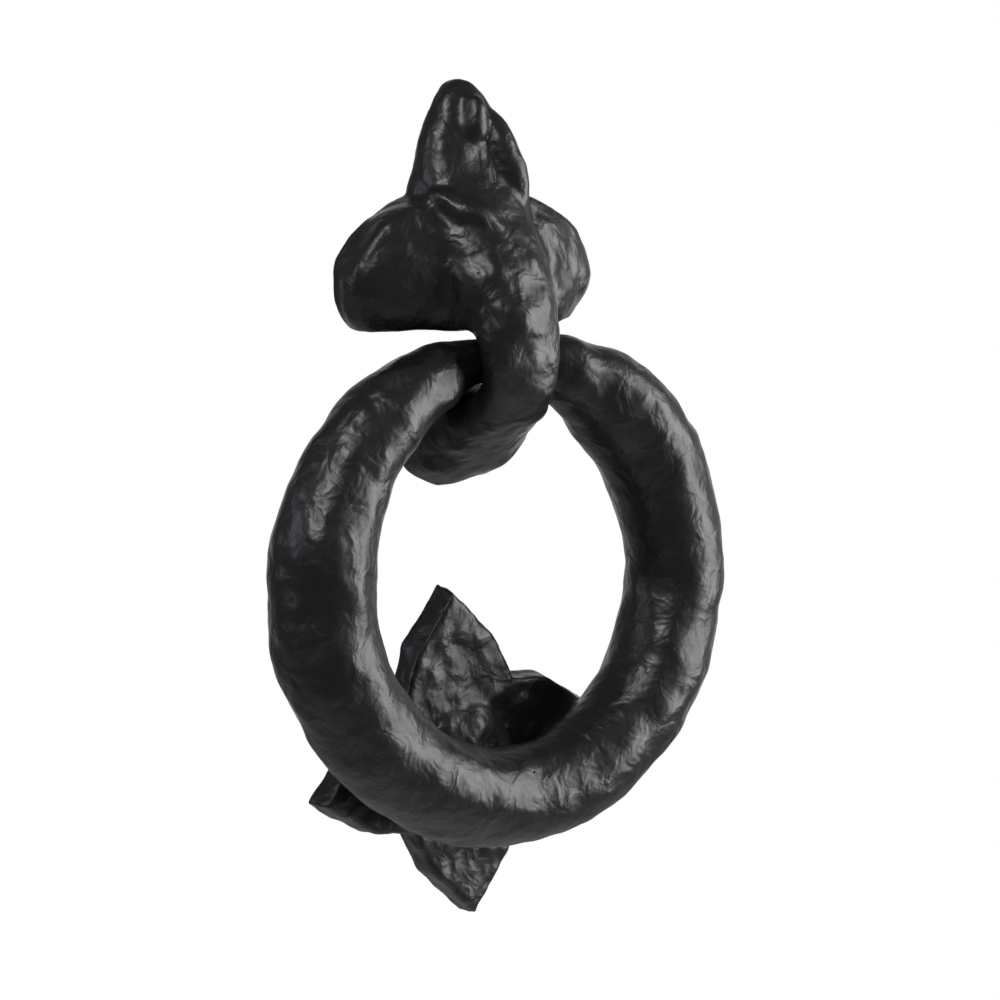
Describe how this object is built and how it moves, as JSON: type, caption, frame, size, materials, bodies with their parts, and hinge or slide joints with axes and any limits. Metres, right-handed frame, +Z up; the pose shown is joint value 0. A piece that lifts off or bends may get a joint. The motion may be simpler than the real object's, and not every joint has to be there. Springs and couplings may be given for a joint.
{
  "type": "door knocker",
  "caption": "Ring door knocker: a leaf-shaped rose with a hook, a heavy ring hanging in it and a petalled striking plate, bolted through a door.",
  "frame": {"origin": "on the door's outer face, where the axis of the upper fixing stud crosses it", "axes": "+Z up the door, -Y out of the door towards the caller, +X to the caller's right"},
  "size_m": [0.1306, 0.0755, 0.2053],
  "materials": {
    "painted_iron": "satin black paint over hand-hammered casting",
    "zinc_steel": "bright zinc plate"
  },
  "bodies": {
    "fixed_castings": {"rose_with_hook": "painted_iron", "striking_plate": "painted_iron", "upper_stud": "zinc_steel", "upper_washer": "zinc_steel", "upper_nut": "zinc_steel", "lower_stud": "zinc_steel", "lower_washer": "zinc_steel", "lower_nut": "zinc_steel"},
    "ring": {"knocker_ring": "painted_iron"}
  },
  "joints": [
    {"name": "ring_swing", "type": "hinge", "parent": "fixed_castings", "child": "ring", "pos_m": [0, -0.0152, -0.0221], "axis": [-1, 0, 0], "range_deg": [0, 70]}
  ]
}
